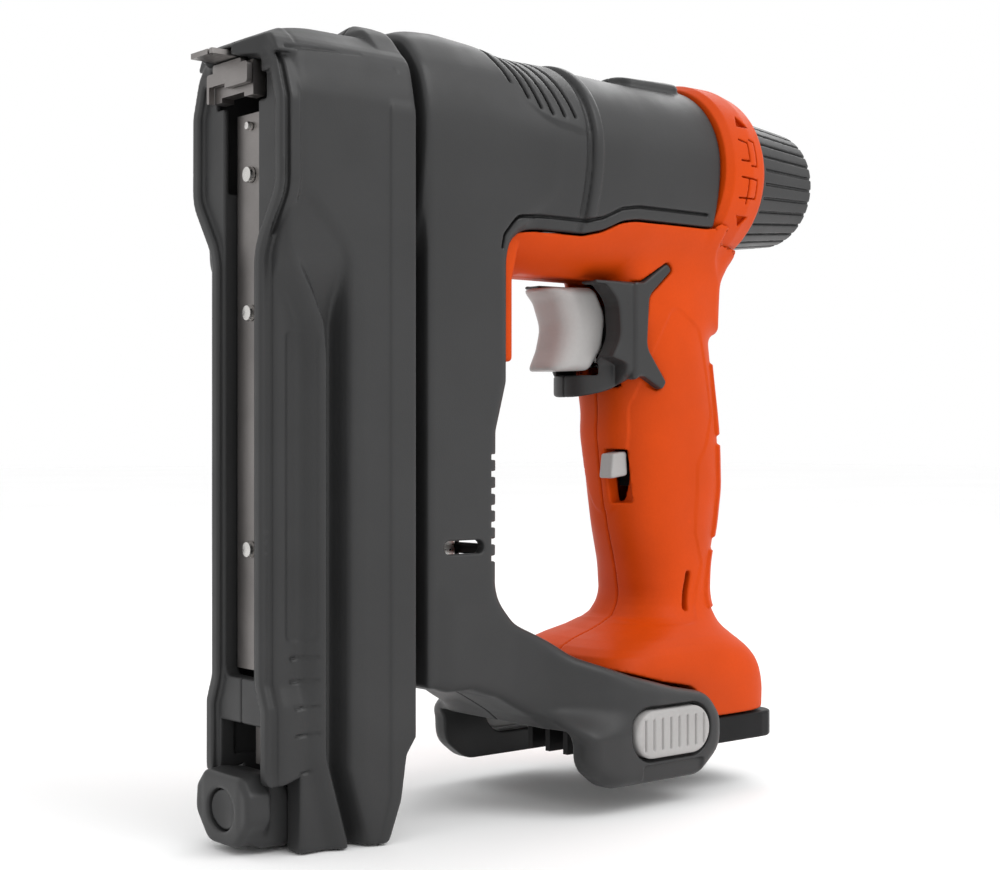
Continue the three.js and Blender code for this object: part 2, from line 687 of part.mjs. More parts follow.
// ---------------------------------------------------------------- electrics and battery foot
function triggerSwitch() {
  return slabY([[140, -70, 1], [140, -52, 1], [164, -50, 1], [166, -70, 1]], -8, 8, 0.6);
}

function triggerReturn() {
  const coil = helix(127, 139.4, 2.6, 0.5, 4);
  return solid(coil.translate(0, 0, -69));
}

function circuitBoard() {
  return box(146, 168, -8.6, 8.6, -132, -130.4);
}

function lockSwitchBody() {
  return box(143.2, 152.6, -9.4, -1.4, -109, -99);
}

function terminalBlock() {
  const base = box(110, 138, -12, 12, -181.6, -176.4);
  const tabs = [-8, 0, 8].map((y) => box(114, 134, y - 1, y + 1, -190, -181));
  return union(base, ...tabs);
}

function releaseButton(side) {
  const pad = slabY(rectangle(114, 145, -188, -173.8, 7), -39.6, -35.6, 1);
  const ribs = [];
  for (let i = 0; i < 8; i++) {
    const x = 120 + i * 2.9;
    ribs.push(box(x - 0.3, x + 0.3, -41, -39, -185, -176.4));
  }
  const stem = box(124, 136, -36, -31.4, -184.6, -177.4);
  const left = union(pad.subtract(union(...ribs)), stem);
  return side < 0 ? left : mirroredY(left);
}

function shellScrew(x, z, y, length) {
  const pin = rod(SCREW.r, y - length, y - 1.8, 12);
  const head = rod(SCREW.head, y - 2, y, 16);
  return union(alongY(pin, x, z), alongY(head, x, z));
}

// ---------------------------------------------------------------- assembly
const COLOURS = {
  graphite: ['#47484a', 0.62, 0],
  orange: ['#e0501c', 0.5, 0],
  black: ['#2b2b2c', 0.6, 0],
  grey: ['#b3b1ae', 0.45, 0],
  steel: ['#8f8a88', 0.32, 0.9],
  zinc: ['#b9bcc0', 0.3, 0.9],
  copper: ['#b8733a', 0.35, 0.9],
  board: ['#2d6a45', 0.6, 0],
};

function toGeometry(manifold) {
  const mesh = manifold.getMesh();
  const geometry = new THREE.BufferGeometry();
  const positions = Float32Array.from(mesh.vertProperties);
  geometry.setAttribute('position', new THREE.Float32BufferAttribute(positions, mesh.numProp));
  geometry.setIndex(new THREE.Uint32BufferAttribute(Uint32Array.from(mesh.triVerts), 1));
  return geometry;
}

const group = new THREE.Group();

function place(name, manifold, colour) {
  const [color, roughness, metalness] = COLOURS[colour];
  const geometry = toGeometry(manifold).translate(-NOSE.x, 0, -NOSE.z);
  geometry.computeVertexNormals();
  const mesh = new THREE.Mesh(geometry, new THREE.MeshStandardMaterial({ color, roughness, metalness }));
  mesh.name = name;
  group.add(mesh);
}

for (const [word, side] of [['left', -1], ['right', 1]]) {
  place(`magazine_shell_${word}`, magazineShell(side), 'graphite');
  place(`body_shell_${word}`, bodyShell(side), 'graphite');
  place(`handle_shell_${word}`, handleShell(side), 'orange');
  place(`trigger_bezel_${word}`, triggerBezel(side), 'graphite');
  place(`battery_release_${word}`, releaseButton(side), 'grey');
  place(`hammer_guide_${word}`, hammerGuide(side), 'steel');
}
for (const [shell, screws] of Object.entries(SCREWS)) {
  screws.forEach((screw, i) => place(`${shell}_screw_${i + 1}`, shellScrew(...screw), 'steel'));
}
place('spine_frame', spineFrame(), 'black');
place('foot_plate', footPlate(), 'black');
place('depth_collar', collar(), 'orange');
place('depth_knob', knob(), 'graphite');
place('adjust_screw', adjustScrew(), 'zinc');
place('screw_nut', screwNut(), 'steel');
place('trigger', triggerPiece(), 'grey');
place('trigger_spring', triggerReturn(), 'zinc');
place('lock_switch', lockSwitch(), 'grey');
place('lock_switch_body', lockSwitchBody(), 'black');
place('trigger_switch', triggerSwitch(), 'black');
place('circuit_board', circuitBoard(), 'board');
place('terminal_block', terminalBlock(), 'black');
place('motor_can', motorCan(), 'zinc');
place('motor_rotor', motorRotor(), 'copper');
place('motor_cap', motorCap(), 'black');
place('gearbox_case', gearbox(), 'black');
place('sun_pinion', sunPinion(), 'steel');
place('output_shaft', outputShaft(), 'steel');
place('cam_wheel', camWheel(), 'steel');
place('cam_shaft', camShaft(), 'zinc');
place('hammer', hammer(), 'steel');
place('driver_blade', driverBlade(), 'steel');
place('drive_spring', driveSpring(), 'zinc');
place('spring_rod', springRod(), 'steel');
place('spring_seat', springSeat(), 'steel');
place('magazine_rail', magazineRail(), 'steel');
[[-10.6, 1], [-23.6, 2], [-60.6, 2], [-123.8, 2]].forEach(([z, r], i) => {
  place(`rail_rivet_${i + 1}`, railRivet(z, r), 'zinc');
});
place('magazine_core', magazineCore(), 'steel');
place('pusher', pusher(), 'steel');
place('pusher_spring', pusherSpring(), 'zinc');
place('staple_strip', stapleStrip(), 'zinc');
place('latch_cap', latchCap(), 'graphite');
place('latch_button', latchButton(), 'graphite');
place('nose_plate', nosePlate(), 'steel');
place('nose_back', noseBack(), 'steel');
place('contact_foot', contactFoot(), 'steel');

export default group;
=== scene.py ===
"""Cordless staple gun: detailed shells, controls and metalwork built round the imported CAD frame.

Every moulded piece is a signed distance field in drawing millimetres (x to the rear, z up, the
barrel's axis at z = -9), meshed on a fine grid and settled onto the exact surface.
"""

import json
import math

import bpy
import numpy as np
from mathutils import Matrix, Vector


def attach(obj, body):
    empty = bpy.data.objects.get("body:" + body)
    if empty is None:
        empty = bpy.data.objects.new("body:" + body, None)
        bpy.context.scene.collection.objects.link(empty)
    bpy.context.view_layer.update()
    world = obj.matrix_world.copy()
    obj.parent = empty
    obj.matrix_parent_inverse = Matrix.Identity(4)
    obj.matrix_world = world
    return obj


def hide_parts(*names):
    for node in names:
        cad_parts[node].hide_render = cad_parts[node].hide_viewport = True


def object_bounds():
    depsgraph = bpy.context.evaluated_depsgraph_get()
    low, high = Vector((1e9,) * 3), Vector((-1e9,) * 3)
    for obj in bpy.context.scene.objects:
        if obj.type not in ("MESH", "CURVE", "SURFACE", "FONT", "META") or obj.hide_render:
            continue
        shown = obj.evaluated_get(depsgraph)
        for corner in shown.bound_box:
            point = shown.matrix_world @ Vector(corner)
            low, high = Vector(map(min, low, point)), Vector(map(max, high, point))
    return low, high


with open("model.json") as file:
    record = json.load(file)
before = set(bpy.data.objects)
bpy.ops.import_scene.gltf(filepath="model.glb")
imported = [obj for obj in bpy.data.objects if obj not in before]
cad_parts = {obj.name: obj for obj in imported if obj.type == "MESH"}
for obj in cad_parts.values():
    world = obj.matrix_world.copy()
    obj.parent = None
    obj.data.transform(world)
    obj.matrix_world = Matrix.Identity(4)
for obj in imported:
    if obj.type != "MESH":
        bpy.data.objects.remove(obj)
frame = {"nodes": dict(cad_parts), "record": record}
frame_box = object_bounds()

# ------------------------------------------------------------------ driving dimensions, mm
MM = 0.001
NOSE_X = 7.7                        # the row's origin is the contact foot's front edge
NOSE_Z = -6.7
STEP = 0.62  # grid spacing of the large shells
FINE = 0.42  # grid spacing of small pieces
SEAM = 0.15                         # half the clearance between the halves of a shell

MAG_FRONT, MAG_REAR, MAG_HALF = 2.6, 46.6, 22.0
BAND_FRONT = 37.5                   # where the magazine's rear band starts
COLUMN_FRONT, COLUMN_HALF = 51.2, 20.6
AXIS_Z = -9.0                       # height of the barrel's axis
COLLAR_FRONT, COLLAR_REAR, COLLAR_R = 164.0, 184.0, 29.6
KNOB_FRONT, KNOB_REAR, KNOB_R0, KNOB_R1 = 184.4, 216.0, 22.4, 19.3
KNOB_RIBS = 30
CHEEK_HALF, BAY_HALF, BAY_ROOF = 38.0, 29.5, -178.5

# The grip from top to bottom: height, front, rear, half width.
GRIP = np.array([
    (-26, 134, 188, 16), (-36, 133.5, 181.5, 17), (-46, 133, 175.2, 18.4), (-60, 133, 175, 18.4),
    (-74, 134, 177.2, 18.2), (-86, 134.8, 180.2, 17), (-92, 134.2, 181.2, 16.8), (-98, 135, 181.8, 16.6),
    (-110, 136.6, 182, 16.6), (-122, 138.6, 180.2, 16.2), (-134, 142, 176.6, 16.2),
    (-144, 143.6, 175, 17), (-149, 141.6, 175.6, 18.8), (-152, 139, 177, 21), (-155, 128, 178.6, 24),
    (-158, 118.6, 181, 27), (-162, 116.6, 183.6, 28.6), (-166, 116, 184.6, 29.6), (-172, 116, 186, 30),
    (-183, 116, 185.6, 30),
])


# ------------------------------------------------------------------ distance field toolkit
def outline(corners, pieces=4):
    """Corners (u, v) or (u, v, radius) as a closed list of points, with each radius as an arc."""
    points = []
    for i, corner in enumerate(corners):
        here = np.array(corner[:2], float)
        if len(corner) < 3:
            points.append(here)
            continue
        before = np.array(corners[i - 1][:2], float) - here
        after = np.array(corners[(i + 1) % len(corners)][:2], float) - here
        room = min(np.linalg.norm(before), np.linalg.norm(after)) * 0.49
        before /= np.linalg.norm(before)
        after /= np.linalg.norm(after)
        angle = math.acos(np.clip(before @ after, -1, 1))
        reach = min(corner[2] / math.tan(angle / 2), room)
        start, end = here + before * reach, here + after * reach
        for j in range(pieces + 1):
            t = j / pieces
            points.append(start * (1 - t) ** 2 + here * 2 * t * (1 - t) + end * t * t)
    return np.array(points)


def profile(u, v, corners):
    """Signed distance in a plane to a closed outline, negative inside."""
    points = outline(corners)
    best = 1e9
    inside = False
    for (au, av), (bu, bv) in zip(points, np.roll(points, -1, 0)):
        eu, ev = bu - au, bv - av
        length = eu * eu + ev * ev
        if length < 1e-9:
            continue
        wu, wv = u - au, v - av
        t = np.clip((wu * eu + wv * ev) / length, 0, 1)
        best = np.minimum(best, (wu - eu * t) ** 2 + (wv - ev * t) ** 2)
        crosses = (av <= v) != (bv <= v)
        left = (eu * wv - ev * wu > 0) == (ev > 0)
        inside = inside ^ (crosses & left)
    return np.where(inside, -1.0, 1.0) * np.sqrt(best)


def stroke(u, v, points, half_width):
    """Signed distance to a line of points drawn with a round pen."""
    best = 1e9
    for (au, av), (bu, bv) in zip(points, points[1:]):
        eu, ev = bu - au, bv - av
        wu, wv = u - au, v - av
        t = np.clip((wu * eu + wv * ev) / (eu * eu + ev * ev), 0, 1)
        best = np.minimum(best, (wu - eu * t) ** 2 + (wv - ev * t) ** 2)
    return np.sqrt(best) - half_width


def join(a, b, blend=0.6):
    """Either shape, with a rounded inner corner."""
    h = np.clip(0.5 + 0.5 * (b - a) / blend, 0, 1)
    return b + (a - b) * h - blend * h * (1 - h)


def overlap(a, b, blend=0.6):
    """What both shapes share, with a rounded edge."""
    return -join(-a, -b, blend)


def cut(a, b, blend=0.5):
    """The first shape without the second, with a rounded edge."""
    return -join(-a, b, blend)


def between(w, low, high):
    """Distance to the slab low < w < high."""
    return np.abs(w - (low + high) / 2) - (high - low) / 2


def slab(flat, w, low, high, edge=0.5):
    """A flat outline given a thickness, with rounded edges."""
    a, b = flat + edge, between(w, low, high) + edge
    return np.minimum(np.maximum(a, b), 0) + np.hypot(np.maximum(a, 0), np.maximum(b, 0)) - edge


def block(x, y, z, low, high, edge=0.4):
    """A box between two corners, with rounded edges."""
    parts = [between(w, a, b) + edge for w, a, b in zip((x, y, z), low, high)]
    outside = np.sqrt(sum(np.maximum(part, 0) ** 2 for part in parts))
    return outside + np.minimum(np.maximum(np.maximum(parts[0], parts[1]), parts[2]), 0) - edge


def ellipse(u, v, a, b):
    """Close to the signed distance to an ellipse with half axes a and b."""
    k0 = np.sqrt((u / a) ** 2 + (v / b) ** 2)
    k1 = np.sqrt((u / a ** 2) ** 2 + (v / b ** 2) ** 2)
    return k0 * (k0 - 1) / np.maximum(k1, 1e-6)


def fade(t, start, end):
    """Smoothly from 0 at start to 1 at end."""
    s = np.clip((t - start) / (end - start), 0, 1)
    return s * s * (3 - 2 * s)


def along(w, knots):
    """A smoothed piecewise line through (place, value) knots."""
    places, values = zip(*knots)
    flip = -1 if places[0] > places[-1] else 1
    places = [flip * place for place in places]
    return sum(np.interp(flip * w + shift, places, values) for shift in (-1.2, 0, 1.2)) / 3


# ------------------------------------------------------------------ meshing
def net(field, low, high, step):
    """Surface net of a field inside a box: points in drawing mm, and quads."""
    axes = [np.arange(a, b + step, step) for a, b in zip(low, high)]
    grid = np.meshgrid(*axes, indexing="ij", sparse=True)
    shape = tuple(len(axis) for axis in axes)
    values = np.broadcast_to(field(*grid), shape).astype(np.float32)
    inside = values < 0
    corners = [(i, j, k) for i in (0, 1) for j in (0, 1) for k in (0, 1)]
    total = sum(
        inside[i:shape[0] - 1 + i, j:shape[1] - 1 + j, k:shape[2] - 1 + k].astype(np.int8)
        for i, j, k in corners
    )
    mixed = (total > 0) & (total < 8)
    cells = np.argwhere(mixed)
    index = np.full(mixed.shape, -1, np.int64)
    index[mixed] = np.arange(len(cells))
    at = {c: values[tuple((cells + c).T)] for c in corners}
    place = np.zeros((len(cells), 3))
    count = np.zeros(len(cells))
    for a in corners:
        for axis in range(3):
            if a[axis]:
                continue
            b = tuple(1 if n == axis else a[n] for n in range(3))
            crosses = (at[a] < 0) != (at[b] < 0)
            gap = np.where(crosses, at[a] - at[b], 1)
            point = np.tile(np.array(a, float), (len(cells), 1))
            point[:, axis] = at[a] / gap
            place[crosses] += point[crosses]
            count += crosses
    points = (cells + place / count[:, None]) * step + np.array(low)
    quads = []
    for axis in range(3):
        side, up = np.eye(3, dtype=int)[(axis + 1) % 3], np.eye(3, dtype=int)[(axis + 2) % 3]
        here = np.take(inside, range(shape[axis] - 1), axis)
        there = np.take(inside, range(1, shape[axis]), axis)
        edges = np.argwhere(here != there)
        kept = (edges @ side > 0) & (edges @ up > 0)
        kept &= (edges @ side < shape[(axis + 1) % 3] - 1) & (edges @ up < shape[(axis + 2) % 3] - 1)
        edges = edges[kept]
        ring = [edges - side - up, edges - up, edges, edges - side]
        quad = np.stack([index[tuple(cell.T)] for cell in ring], 1)
        leaving = here[tuple(edges.T)]
        quads.append(np.where(leaving[:, None], quad, quad[:, ::-1]))
    return points, np.concatenate(quads)


def settle(field, points, step, rounds=2):
    """Moves points along the field's slope onto its zero surface."""
    reach = 0.05
    for _ in range(rounds):
        x, y, z = points.T
        slope = np.stack([
            field(x + reach, y, z) - field(x - reach, y, z),
            field(x, y + reach, z) - field(x, y - reach, z),
            field(x, y, z + reach) - field(x, y, z - reach),
        ]) / (2 * reach)
        steepness = np.maximum((slope ** 2).sum(0), 0.3)
        move = -slope * field(x, y, z) / steepness
        length = np.maximum(np.linalg.norm(move, axis=0), 1e-9)
        points = points + (move * np.minimum(1, 0.5 * step / length)).T
    return points


def to_row(points):
    """Drawing millimetres to the shared frame's metres."""
    return (points + np.array([NOSE_X, 0, NOSE_Z])) * MM


def add_mesh(name, points, faces, body, nodes, material):
    """A mesh object from points in drawing mm that rides on a body and stands for CAD nodes."""
    mesh = bpy.data.meshes.new(name)
    mesh.from_pydata(to_row(points).tolist(), [], faces.tolist())
    mesh.validate()
    mesh.polygons.foreach_set("use_smooth", [True] * len(mesh.polygons))
    mesh.materials.append(material)
    obj = bpy.data.objects.new(name, mesh)
    bpy.context.scene.collection.objects.link(obj)
    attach(obj, body)
    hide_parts(*nodes)
    return obj


def moulded(name, field, low, high, body, node, material, step=None):
    step = step or FINE
    points, faces = net(field, low, high, step)
    return add_mesh(name, settle(field, points, step), faces, body, [node], material)


def moulded_pair(name, field, low, high, bodies, nodes, material, step=None):
    """The left half from its field (y below zero), and the right half as its mirror image."""
    step = step or STEP
    points, faces = net(field, low, high, step)
    points = settle(field, points, step)
    add_mesh(name + "_left_skin", points, faces, bodies[0], [nodes[0]], material)
    mirrored = points * np.array([1, -1, 1])
    add_mesh(name + "_right_skin", mirrored, faces[:, ::-1], bodies[1], [nodes[1]], material)


# ------------------------------------------------------------------ materials
class Nodes:
    """A small helper that builds one node material."""

    def __init__(self, name):
        self.material = bpy.data.materials.new(name)
        self.material.use_nodes = True
        self.tree = self.material.node_tree
        self.shader = self.tree.nodes["Principled BSDF"]
        self.place = self.tree.nodes.new("ShaderNodeTexCoord").outputs["Object"]

    def link(self, a, b):
        self.tree.links.new(a, b)

    def noise(self, scale, detail=3.0, stretch=None):
        node = self.tree.nodes.new("ShaderNodeTexNoise")
        node.inputs["Scale"].default_value = scale
        node.inputs["Detail"].default_value = detail
        source = self.place
        if stretch:
            mapping = self.tree.nodes.new("ShaderNodeMapping")
            mapping.inputs["Scale"].default_value = stretch
            self.link(self.place, mapping.inputs["Vector"])
            source = mapping.outputs["Vector"]
        self.link(source, node.inputs["Vector"])
        return node.outputs["Fac"]

    def cells(self, scale):
        node = self.tree.nodes.new("ShaderNodeTexVoronoi")
        node.inputs["Scale"].default_value = scale
        self.link(self.place, node.inputs["Vector"])
        return node.outputs["Distance"]

    def spread(self, source, low, high, from_low=0.35, from_high=0.65):
        node = self.tree.nodes.new("ShaderNodeMapRange")
        node.inputs["From Min"].default_value = from_low
        node.inputs["From Max"].default_value = from_high
        node.inputs["To Min"].default_value = low
        node.inputs["To Max"].default_value = high
        self.link(source, node.inputs["Value"])
        return node.outputs["Result"]

    def mix(self, factor, a, b):
        node = self.tree.nodes.new("ShaderNodeMix")
        node.data_type = "RGBA"
        self.link(factor, node.inputs["Factor"])
        for value, socket in ((a, node.inputs["A"]), (b, node.inputs["B"])):
            if isinstance(value, tuple):
                socket.default_value = (*value, 1)
            else:
                self.link(value, socket)
        return node.outputs["Result"]

    # Painted highlight: a pointiness mask that is high on sharp convex edges, used to lighten them in the
    # base colour.
    def painted_edge_highlight(self, strength):
        geometry = self.tree.nodes.new("ShaderNodeNewGeometry")
        return self.spread(geometry.outputs["Pointiness"], 0, strength, 0.52, 0.62)

    def bump(self, source, strength, distance, normal=None):
        node = self.tree.nodes.new("ShaderNodeBump")
        node.inputs["Strength"].default_value = strength
        node.inputs["Distance"].default_value = distance
        self.link(source, node.inputs["Height"])
        if normal is not None:
            self.link(normal, node.inputs["Normal"])
        return node.outputs["Normal"]


def shade(colour, factor):
    """A lighter or darker version of a colour."""
    return tuple(min(channel * factor, 1) for channel in colour)


def plastic(name, colour, roughness=0.45, grain=0.25, grain_scale=2600, highlight_strength=0.3, gloss=0.3):
    """Moulded plastic: spark-eroded grain, slow colour drift, and a painted highlight that lightens the
    sharp edges.
    """
    n = Nodes(name)
    drift = n.spread(n.noise(28, 3), 0, 1)
    base = n.mix(drift, shade(colour, 0.93), shade(colour, 1.07))
    # Painted highlight: sharp convex edges are lightened to 1.5 times the colour.
    highlighted = n.mix(n.painted_edge_highlight(highlight_strength), base, shade(colour, 1.5))
    speckle = n.spread(n.noise(900, 2), 0, 0.12)
    n.link(n.mix(speckle, highlighted, shade(colour, 0.8)), n.shader.inputs["Base Color"])
    n.shader.inputs["Specular IOR Level"].default_value = gloss
    n.link(n.spread(n.noise(60, 4), roughness - 0.05, roughness + 0.07), n.shader.inputs["Roughness"])
    fine = n.bump(n.noise(grain_scale, 2), grain, 0.00012)
    n.link(n.bump(n.noise(220, 2), 0.12, 0.0002, fine), n.shader.inputs["Normal"])
    return n.material


def metal(name, colour, roughness=0.3, stretch=(1, 1, 30), brushed=0.2):
    """Plated or brushed metal: drawn lines, faint staining and a little wear."""
    n = Nodes(name)
    stain = n.spread(n.noise(45, 4), 0, 1)
    n.link(n.mix(stain, shade(colour, 0.86), shade(colour, 1.08)), n.shader.inputs["Base Color"])
    n.shader.inputs["Metallic"].default_value = 1.0
    lines = n.noise(700, 3, stretch)
    n.link(n.spread(lines, roughness - 0.08, roughness + 0.1), n.shader.inputs["Roughness"])
    n.link(n.bump(lines, brushed, 0.00008), n.shader.inputs["Normal"])
    return n.material


def board_green(name):
    """Solder mask with a fine cell pattern of tracks under it."""
    n = Nodes(name)
    tracks = n.spread(n.cells(420), 0, 1, 0.2, 0.5)
    n.link(n.mix(tracks, (0.02, 0.11, 0.05), (0.03, 0.16, 0.07)), n.shader.inputs["Base Color"])
    n.link(n.spread(n.noise(90), 0.25, 0.4), n.shader.inputs["Roughness"])
    n.link(n.bump(tracks, 0.3, 0.00005), n.shader.inputs["Normal"])
    return n.material


GRAPHITE = (0.029, 0.0292, 0.0297)
ORANGE = (0.56, 0.054, 0.0008)
MATERIALS = {
    "graphite_shell": plastic("graphite_plastic", GRAPHITE, 0.42, 0.22),
    "orange_shell": plastic("orange_plastic", ORANGE, 0.5, 0.3, 2200, 0.1, 0.12),
    "black_plastic": plastic("black_plastic", (0.008, 0.008, 0.0085), 0.45, 0.2, gloss=0.15),
    "grey_control": plastic("grey_plastic", (0.36, 0.352, 0.346), 0.36, 0.12, 3000, 0.1),
    "bright_steel": metal("stamped_steel", (0.25, 0.235, 0.228), 0.36),
    "zinc_plate": metal("zinc_plate", (0.62, 0.61, 0.59), 0.28, (1, 1, 1), 0.1),
    "copper": metal("enamelled_copper", (0.6, 0.26, 0.1), 0.35, (1, 1, 60), 0.3),
    "board": board_green("circuit_board"),
}


def dress_frame():
    """Every CAD node that still shows gets its slot's material and softened edges."""
    for part in frame["record"]["subparts"]:
        node = frame["nodes"][part["node"]]
        node.data.materials.clear()
        node.data.materials.append(MATERIALS[part["material_slot"]])
        bevel = node.modifiers.new("soft_edges", "BEVEL")
        bevel.width = 0.00025
        bevel.segments = 2
        bevel.limit_method = "ANGLE"
        bevel.angle_limit = math.radians(40)
        bevel.use_clamp_overlap = True
        bevel.harden_normals = True


# ------------------------------------------------------------------ magazine housing
MAG_SIDE = [
    (MAG_FRONT, -186, 3), (MAG_FRONT, 4.4), (-3, 5.6), (-3, 8.5, 0.6), (9, 13.9, 12), (20, 16.6, 12),
    (MAG_REAR, 17.6), (MAG_REAR, -175.5, 1), (43, -180, 3), (41, -192, 8), (36.5, -203, 3), (12, -203),
    (12, -183),
]
MAG_ARCH = [
    (0, 17.4), (10, 15.7, 12), (19, 9, 10), (MAG_HALF, -4, 10), (MAG_HALF, -204), (-60, -204), (-60, 17.4),
]
FLANGE = [
    (0, 13), (10, 11.4, 8), (19, 4.6, 8), (22.5, -6, 8), (22.6, -30, 12), (12.6, -45, 12), (12.6, -158, 5),
    (15.4, -165, 5), (15.4, -186, 5), (11, -190, 3), (-60, -190), (-60, 13),
]


def ridge_place(z):
    """Where the ridge behind the side's front strip runs, from the nose down to the latch."""
    return along(z, [
        (-40, 5), (-46.9, 7.6), (-55.3, 13), (-63.6, 17), (-72, 17.8), (-178, 17.8), (-203, 25),
    ])


def side_height(x, z):
    """How far the magazine's side stands out from the middle plane."""
    ridge = ridge_place(z)
    deep = fade(z, -42, -66)
    shift = along(z, [(-170, 0), (-182, 0), (-203, 6)])
    rim = along(z, [(-150, 0), (-158, 0), (-165, 2.6), (-203, 2.6)])
    near_floor = 15.0 + rim
    far_floor = 20.4 - 6.4 * deep
    total = 0
    for nudge in (-0.7, 0, 0.7):
        w = x + nudge
        front = np.interp(w - shift, [2.6, 4, 6, 8], [11.3, 13.4, 14.6, 15]) + rim
        wall = fade(w, ridge - 5.4, ridge - 0.6) * (20 - near_floor)
        left = np.minimum(front, near_floor) + wall
        right = far_floor + (20.2 - far_floor) * (1 - fade(w, ridge + 0.6, ridge + 2.8))
        rise = np.interp(w - shift, [23.6, 25.2, 26.8, 29.5], [0, 0.78, 0.92, 1])
        shoulder = (22 - far_floor) * rise
        total = total + np.where(w < ridge, left, np.maximum(right, far_floor + shoulder))
    lower = total / 3
    region = profile(x, z, [
        (8, -29, 3), (13, -31, 4), (20, -38, 8), (29, -50, 10), (31, -62, 8), (31, -182, 8), (38, -201),
        (38, -230), (-20, -230), (-20, -45), (2, -45),
    ])
    return MAG_HALF + (lower - MAG_HALF) * fade(region, 1.6, -2.4)


def magazine_marks(x, z, body):
    """The sunk grip panel, its rib marks and the fine slots of one side."""
    panel = profile(x, z, [(9, -66, 1.5), (16.2, -66.4, 1.5), (16.2, -147.4, 1.5), (9, -147.4, 1.5)])
    body = body + 0.45 * fade(panel, 0.35, -0.35)
    for top in (-151.5, -157.6, -164.4, -171.6, -181.5):
        width = 3.0 if top > -180 else 1.4
        mark = stroke(x, z, [(13.4 - width, top - 0.5), (13.4 + width, top)], 0.35)
        body = body + 0.7 * fade(mark, 0.3, -0.3)
    return body


def magazine_field(x, y, z):
    across = np.abs(y)
    flange = profile(across, z, FLANGE)
    arch = profile(across, z, MAG_ARCH)
    rim = slab(flange, x, MAG_FRONT, 9, 1.0)
    lip_groove = overlap(-(flange + 1.5), between(x, 3.9, 5.5), 0.3)
    rim = cut(rim, overlap(lip_groove, -42 - z, 3), 0.4)
    shape = profile(x, z, MAG_SIDE)
    flat = across - side_height(x, z)
    flat = magazine_marks(x, z, flat)
    body = overlap(overlap(shape, flat, 1.2), overlap(arch, 5.6 - x, 6), 1.2)
    retreat = 6 * fade(across, 6, 15)
    crown = overlap(overlap(shape, arch, 1), between(x - retreat, -4, 9), 0.6)
    crown = overlap(overlap(crown, x - 9, 0.3), 6 - z, 0.6)
    crown = overlap(crown, MAG_FRONT - 5.6 + retreat - x, 0.6)
    outer = join(join(body, overlap(rim, shape, 0.4), 0.5), crown, 0.8)
    band_shape = profile(x, z, [
        (BAND_FRONT, 14), (37.6, 18.4, 1), (40.5, 21.8, 4), (MAG_REAR, 21.6, 2), (MAG_REAR, -175.4, 1),
        (43.4, -180, 3), (41.6, -192, 8), (37.4, -203, 3), (34, -203), (BAND_FRONT, -190, 8),
    ])
    band_arch = profile(across, z, [
        (0, 21.6), (9.6, 18, 12), (18, 9, 12), (MAG_HALF + 0.25, -5, 12), (MAG_HALF + 0.25, -204),
        (-60, -204), (-60, 21.6),
    ])
    band = overlap(band_shape, band_arch, 1.2)
    outer = np.minimum(outer, band)
    recess = slab(flange + 3.6, x, -20, 4.5, 0.3)
    recess = overlap(recess, z - 1.5, 0.4)
    outer = cut(outer, recess, 0.4)
    outer = magazine_slots(x, y, z, outer)
    return overlap(cut(outer, magazine_hollow(x, across, z), 0.3), y + SEAM, 0.4)


def magazine_slots(x, y, z, outer):
    """Fine lines cut into the upper housing."""
    upper_line = stroke(x, z, [(6, 7.4), (30, 8.8)], 0.45)
    skin = -y - 19.2
    outer = cut(outer, np.maximum(upper_line, -(skin + 1.0)), 0.3)
    notch = stroke(x, z, [(39.8, 9.8), (41.4, 5.4)], 0.5)
    outer = cut(outer, np.maximum(notch, 19.6 + y), 0.3)
    hump_line = stroke(x, y, [(27.4, -9.2), (32.4, -8)], 0.4)
    top_slot = np.maximum(between(x, 1.2, 2.2), between(np.abs(y), 0, 10.5))
    outer = cut(outer, np.maximum(top_slot, 9.5 - z), 0.2)
    return cut(outer, np.maximum(hump_line, 13.4 - z), 0.3)


def magazine_hollow(x, across, z):
    store = block(x, across, z, (9, -1, -180), (43.4, 11.8, 3.6))
    upper = block(x, across, z, (6, -1, -28), (43.4, 15, 9.4))
    slot = slab(profile(across, z, [(-20, 5.2), (8.5, 5.2), (8.5, -158, 3), (-20, -158)]), x, -8, 12, 0.3)
    nose = block(x, across, z, (-8, -1, -5.2), (9, 12.4, 5.2))
    foot = block(x, across, z, (-8, -1, 4.6), (60, 6.6, 8))
    driver = block(x, across, z, (40, -1, -20.6), (60, 11.2, 4))
    latch = block(x, across, z, (-8, -1, -212), (40.5, 10.5, -170))
    hollow = np.minimum(np.minimum(store, upper), np.minimum(slot, nose))
    return np.minimum(np.minimum(hollow, foot), np.minimum(driver, latch))


# ------------------------------------------------------------------ dark body shell
# Lower edge of the dark barrel shell on its side; a groove follows it just above.
EDGE = [
    (70, -60), (81.6, -44), (82.4, -37.4), (85, -34), (92, -33.4), (110, -33.4), (117, -31.8), (124, -28.6),
    (130, -27.7), (170, -27.6),
]
# Where each louvre slit ends on the side: place along the barrel, and height.
LOUVRES = [(81.6, 7.5), (86.3, 3.2), (90, 0.6), (93.7, -0.8), (97.9, -1.2), (101.9, -1)]
# The dark barrel's half width, and its height above its axis, from the column to the collar.
BARREL_HALF = [(51, 21), (70, 22.5), (95, 26), (104, 26.6), (164, 26.6)]
BARREL_TOP = [(51, 28.4), (58, 29.8), (65, 30.2), (79, 28), (94, 27), (119, 27), (135, 26.4), (158, 27.2)]


def barrel_section(x, across, z):
    half = along(x, BARREL_HALF)
    top = np.where(z > AXIS_Z, along(x, BARREL_TOP), half)
    circle = ellipse(across, z - AXIS_Z, half, top)
    belly = ellipse(across, z + 20, half - 2.2, 26.6)
    return join(circle, belly, 4)


def body_edge(x, z):
    """Negative above the line that parts the dark barrel from the orange handle."""
    return along(x, EDGE) - z


